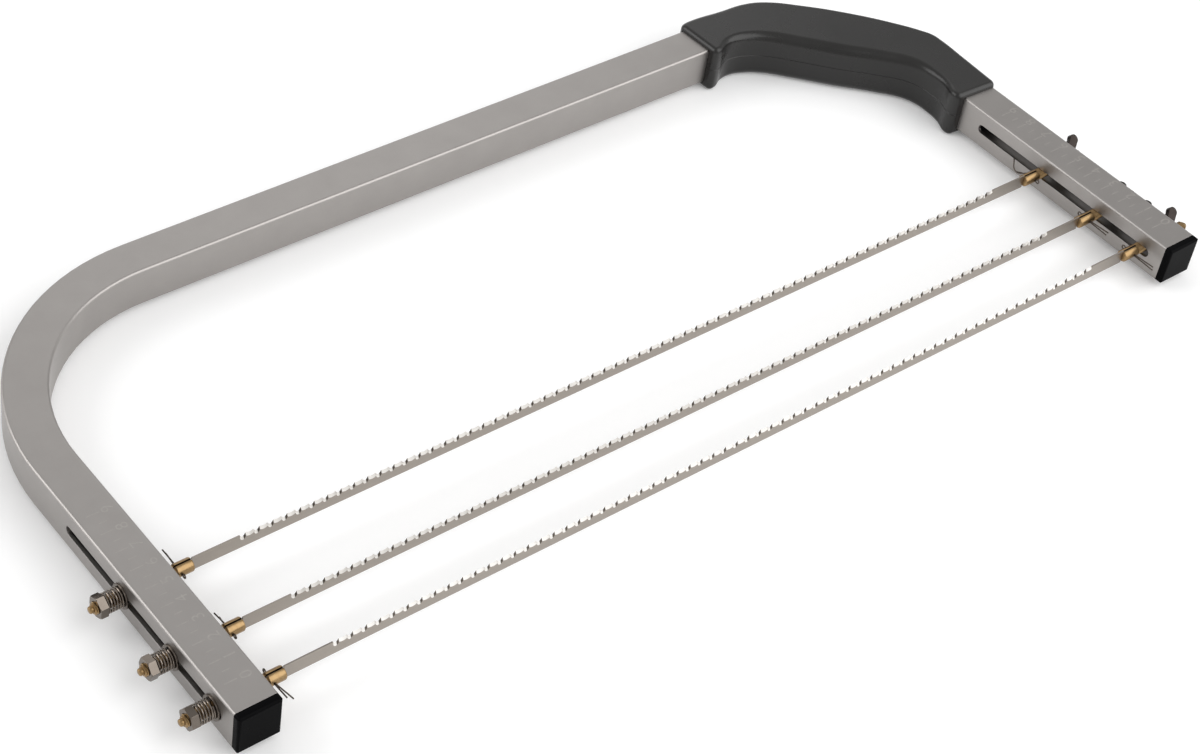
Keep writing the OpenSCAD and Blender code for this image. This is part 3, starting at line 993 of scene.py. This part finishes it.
@dataclass
class Spring:
    """A wound compression spring between the left arm's washer and the hexagon nut."""

    unit: int
    outside: float = 8.1
    wire: float = 0.78
    length: float = 6.5
    washer: float = 0.8
    turns: float = 5.75
    closed: float = 0.75
    steps: int = 28
    start_turn: float = 0.7

    def build(self) -> None:
        """Wind the spring between the washer and the nut, on no body."""
        start = -HALF_WIDTH - self.washer
        middle = blade_at(self.unit)
        radius = (self.outside - self.wire) / 2
        count = round(self.turns * self.steps)
        rise = [min(1.0, i / self.steps / self.closed, (count - i) / self.steps / self.closed)
                for i in range(count + 1)]
        run = (self.length - self.wire) / sum(rise[1:])
        points, x = [], start - self.wire / 2
        for i in range(count + 1):
            turn = 2 * math.pi * i / self.steps + self.start_turn * self.unit
            x -= run * rise[i] if i else 0.0
            points.append((x, middle + radius * math.cos(turn), radius * math.sin(turn)))
        wire = bend_wire(points, self.wire, smooth=False)
        bmesh.ops.translate(wire, verts=wire.verts, vec=ORIGIN)
        piece = finish_piece(f"wound_spring_{self.unit}", wire, [Finish.SPRING_WIRE.material()],
                             None, [f"spring_{self.unit}"], weighted=False)
        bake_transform(piece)


@dataclass
class BladeUnit:
    """One blade with its two holders, pins, spring, washers and nuts."""

    unit: int
    left_pin: SplitPin
    right_pin: SplitPin
    right_tip: float
    left_head: float = 7.1
    left_head_diameter: float = 5.6
    left_gap: float = 3.6
    left_tip: float = 13.2
    left_saw_past: float = 0.5
    right_head: float = 8.6
    right_gap: float = 2.4
    right_saw_past: float = 0.1
    nut_edge: float = 0.12
    washer_edge: float = 0.15
    nut_grain: float = 0.2
    nut_smoothing: int = 4
    tang: float = 3.7
    ground_turn: tuple[float, float] = (0.2, 0.97)
    end_turn: float = 0.9
    steep_turn: float = -0.3

    def build(self) -> None:
        """Make every piece of the unit."""
        n = self.unit
        self.dress_blade()
        self.turn_rods()
        self.left_pin.build()
        self.right_pin.build()
        Spring(n).build()
        dress_copy(f"hex_nut_{n}_piece", f"hex_nut_{n}", Finish.PLATED_NUT,
                   f"blade_set_{n}", self.nut_edge, angle=35)
        for kind in ("spring_washer", "clamp_washer"):
            dress_copy(f"{kind}_{n}_piece", f"{kind}_{n}", Finish.PLATED_WASHER,
                       f"carriage_{n}", self.washer_edge, angle=35)
        self.cast_wing_nut()

    def turn_rods(self) -> None:
        """Make the two brass rods."""
        at = -INSIDE + self.left_gap + self.left_head
        Rod("tension_rod", self.unit, Arm.LEFT, at, self.left_head,
            self.left_head + self.left_saw_past, at + HALF_WIDTH + self.left_tip,
            head_diameter=self.left_head_diameter).build()
        at = INSIDE - self.right_gap - self.right_head
        Rod("clamp_rod", self.unit, Arm.RIGHT, at, self.right_head,
            self.right_head + self.right_saw_past, HALF_WIDTH + self.right_tip - at).build()

    def cast_wing_nut(self) -> None:
        """Give the wing nut the soft edges of a casting."""
        mesh = bpy.data.meshes.new("casting")
        bm = solid_copy(f"wing_nut_{self.unit}")
        bm.to_mesh(mesh)
        bm.free()
        holder = link_object("casting", mesh)
        grain = holder.modifiers.new("grain", "REMESH")
        grain.mode, grain.voxel_size, grain.adaptivity = "VOXEL", self.nut_grain * MM, 0.0
        bm = take_mesh(holder)
        for _ in range(self.nut_smoothing):
            bmesh.ops.smooth_vert(bm, verts=bm.verts, factor=0.5, use_axis_x=True,
                                  use_axis_y=True, use_axis_z=True)
        finish_piece(f"wing_nut_{self.unit}_piece", bm, [Finish.CAST_WING.material()],
                     f"wing_{self.unit}", [f"wing_nut_{self.unit}"],
                     crease=180, weighted=False)

    def dress_blade(self) -> None:
        """Give the blade its rolled faces, its bevelled teeth lighter and with a painted
        highlight, and painted shade on the gullet faces that look to the left arm.
        """
        n = self.unit
        bm = solid_copy(f"blade_{n}")
        for low, high in ((-INSIDE, -INSIDE + self.left_gap + self.left_head),
                          (INSIDE - self.right_gap - self.right_head, INSIDE)):
            bm = carve(bm, self.tang_tool(low, high))
        bm.normal_update()
        least, most = self.ground_turn
        for face in bm.faces:
            across = abs(face.normal.x) < self.end_turn
            # Bevel faces: partly their own lighter steel, partly a painted highlight
            ground_and_highlight = least < abs(face.normal.y) < most and across
            # Gullet faces that look to the left arm get painted shade
            gullet_shade = face.normal.x < self.steep_turn
            face.material_index = (2 if gullet_shade else 1) if ground_and_highlight else 0
        finish_piece(f"toothed_blade_{n}", bm,
                     [Finish.ROLLED_STEEL.material(), Finish.GROUND_STEEL.material(),
                      Finish.GULLET_STEEL.material()],
                     f"blade_set_{n}", [f"blade_{n}"], crease=12)

    def tang_tool(self, low: float, high: float) -> bmesh.types.BMesh:
        """Build the two blocks that narrow a blade's end, where it lies inside a head.

        Args:
            low: Where the head begins, along the blade.
            high: Where it ends.

        Returns:
            The blocks, in metres.
        """
        bm = bmesh.new()
        for side in (-1, 1):
            add_box(bm, place((low + high) / 2, blade_at(self.unit), side * self.tang),
                    (high - low, 2 * self.tang, self.tang))
        return bm


def blade_units() -> list[BladeUnit]:
    """Return the three units, from the back of the bow to the feet."""
    left, right = Arm.LEFT, Arm.RIGHT
    return [
        BladeUnit(
            1, right_tip=7.8,
            left_pin=SplitPin(1, left, facing=1, first=((-0.6, 10, 1.5),),
                              second=((0.5, 9.2, -0.4),)),
            right_pin=SplitPin(1, right, facing=1, first=((-0.8, 7.9, -2), (-1.6, 10.4, 4)),
                               second=((0.2, 8.2, -2.8),))),
        BladeUnit(
            2, right_tip=8.8,
            left_pin=SplitPin(2, left, facing=1, first=((-0.9, 8.3, 1.1),),
                              second=((0.8, 7.4, -1.2),)),
            right_pin=SplitPin(2, right, facing=-1, first=((0.4, 12.6, 0.7),),
                               second=((0.2, 12, -0.8),))),
        BladeUnit(
            3, right_tip=12.0,
            left_pin=SplitPin(3, left, facing=-1, first=((0.6, 13, 2.2),),
                              second=((0.8, 9.2, -1.4),)),
            right_pin=SplitPin(3, right, facing=-1, first=((0.2, 12.6, 0.7),),
                               second=((0, 13, -0.7),))),
    ]


# ------------------------------------------------------------------ studio

@dataclass(frozen=True)
class Softbox:
    """A square soft lamp that looks at the middle of the tool."""

    name: str
    direction: tuple[float, float, float]
    distance: float
    size: float
    power: float

    def hang(self) -> None:
        """Hang the lamp."""
        data = bpy.data.lights.new(self.name, "AREA")
        data.size = self.size
        data.energy = self.power
        lamp = link_object(self.name, data)
        lamp.location = Vector(self.direction).normalized() * self.distance
        lamp.rotation_euler = (-lamp.location).to_track_quat("-Z", "Y").to_euler()


@dataclass
class Studio:
    """Plain pale floor, soft lamps and the camera at the photograph's angle.

    The camera's place is measured from the middle of the tube's ends.
    """

    camera_at: tuple[float, float, float] = (-561.14, -440.82, 676.24)
    camera_turn: tuple[float, float, float] = (48.7878, -5.60002, -36.89458)
    lens: float = 76.536
    sensor: float = 36.0
    shift: tuple[float, float] = (0.11398, -0.07346)
    clip: tuple[float, float] = (0.05, 50.0)
    floor_size: float = 16.0
    room: float = 0.6
    whitening: float = 0.12
    lamps: tuple[Softbox, ...] = (
        Softbox("front_softbox", (0.5, -0.66, 0.62), 1.9, 2.2, 30.0),
        Softbox("back_softbox", (-0.63, 0.56, 0.5), 1.9, 1.2, 12.0),
        Softbox("top_softbox", (0.42, 0.73, 0.54), 2.2, 1.3, 3.6),
    )

    def build(self) -> None:
        """Set the camera, the floor, the lamps and the world."""
        self.place_camera()
        self.lay_floor()
        for lamp in self.lamps:
            lamp.hang()
        self.light_room()
        bpy.context.scene.view_settings.view_transform = "Standard"

    def place_camera(self) -> None:
        """Set the camera where the photograph was taken from."""
        data = bpy.data.cameras.new("camera")
        data.sensor_width = self.sensor
        data.lens = self.lens
        data.shift_x, data.shift_y = self.shift
        data.clip_start, data.clip_end = self.clip
        camera = link_object("camera", data)
        camera.location = place(*self.camera_at)
        camera.rotation_euler = [math.radians(a) for a in self.camera_turn]
        bpy.context.scene.camera = camera

    def lay_floor(self) -> None:
        """Lay a floor that shows as white to the camera and still takes a shadow."""
        bm = bmesh.new()
        bmesh.ops.create_grid(bm, x_segments=1, y_segments=1, size=self.floor_size / 2)
        mesh = bpy.data.meshes.new("floor")
        bm.to_mesh(mesh)
        bm.free()
        mesh.materials.append(self.floor_material())
        link_object("floor", mesh)

    def seen(self, tree: bpy.types.NodeTree) -> bpy.types.NodeSocket:
        """Return a socket that is 1 for rays that show the background, and 0 for light.

        Args:
            tree: The node tree.

        Returns:
            The socket.
        """
        rays = add_node(tree, "ShaderNodeLightPath").outputs
        some = add_node(tree, "ShaderNodeMath", None,
                        {0: rays["Is Camera Ray"], 1: rays["Is Glossy Ray"]},
                        operation="MAXIMUM")
        more = add_node(tree, "ShaderNodeMath", None,
                        {0: some.outputs[0], 1: rays["Is Transmission Ray"]},
                        operation="MAXIMUM")
        return more.outputs[0]

    def floor_material(self) -> bpy.types.Material:
        """Make the floor's paint, a little whiter to the camera than to the tool."""
        material, shader = start_material("pale_floor")
        tree = material.node_tree
        shader.inputs["Base Color"].default_value = linear("#f4f4f4")
        shader.inputs["Roughness"].default_value = 0.9
        shader.inputs["Specular IOR Level"].default_value = 0.0
        lift = add_node(tree, "ShaderNodeMath", {1: self.whitening}, {0: self.seen(tree)},
                        operation="MULTIPLY")
        shader.inputs["Emission Color"].default_value = (1, 1, 1, 1)
        tree.links.new(lift.outputs[0], shader.inputs["Emission Strength"])
        return material

    def light_room(self) -> None:
        """Set the even light of the room, which looks white behind the floor."""
        world = bpy.data.worlds.new("room")
        world.use_nodes = True
        tree = world.node_tree
        strength = add_node(tree, "ShaderNodeMapRange", {"To Min": self.room, "To Max": 1.0})
        rays = add_node(tree, "ShaderNodeLightPath").outputs
        tree.links.new(rays["Is Camera Ray"], strength.inputs["Value"])
        shade = tree.nodes["Background"]
        shade.inputs["Color"].default_value = (1, 1, 1, 1)
        tree.links.new(strength.outputs[0], shade.inputs["Strength"])
        bpy.context.scene.world = world


def main() -> None:
    """Build the tool, piece by piece, and the studio round it."""
    logging.basicConfig(level=logging.INFO, format="%(message)s")
    Bow().build()
    Scale("scale_left", -HALF_WIDTH, whole=(4.25, 9.4), half=(6.6, 9.9),
          figures=(10.4, 15.2)).build()
    Scale("scale_right", INSIDE, whole=(5.3, 10.6), half=(7.0, 10.7),
          figures=(11.0, 16.0)).build()
    Handle().build()
    for unit in blade_units():
        unit.build()
    Studio().build()


if __name__ == "__main__":
    main()
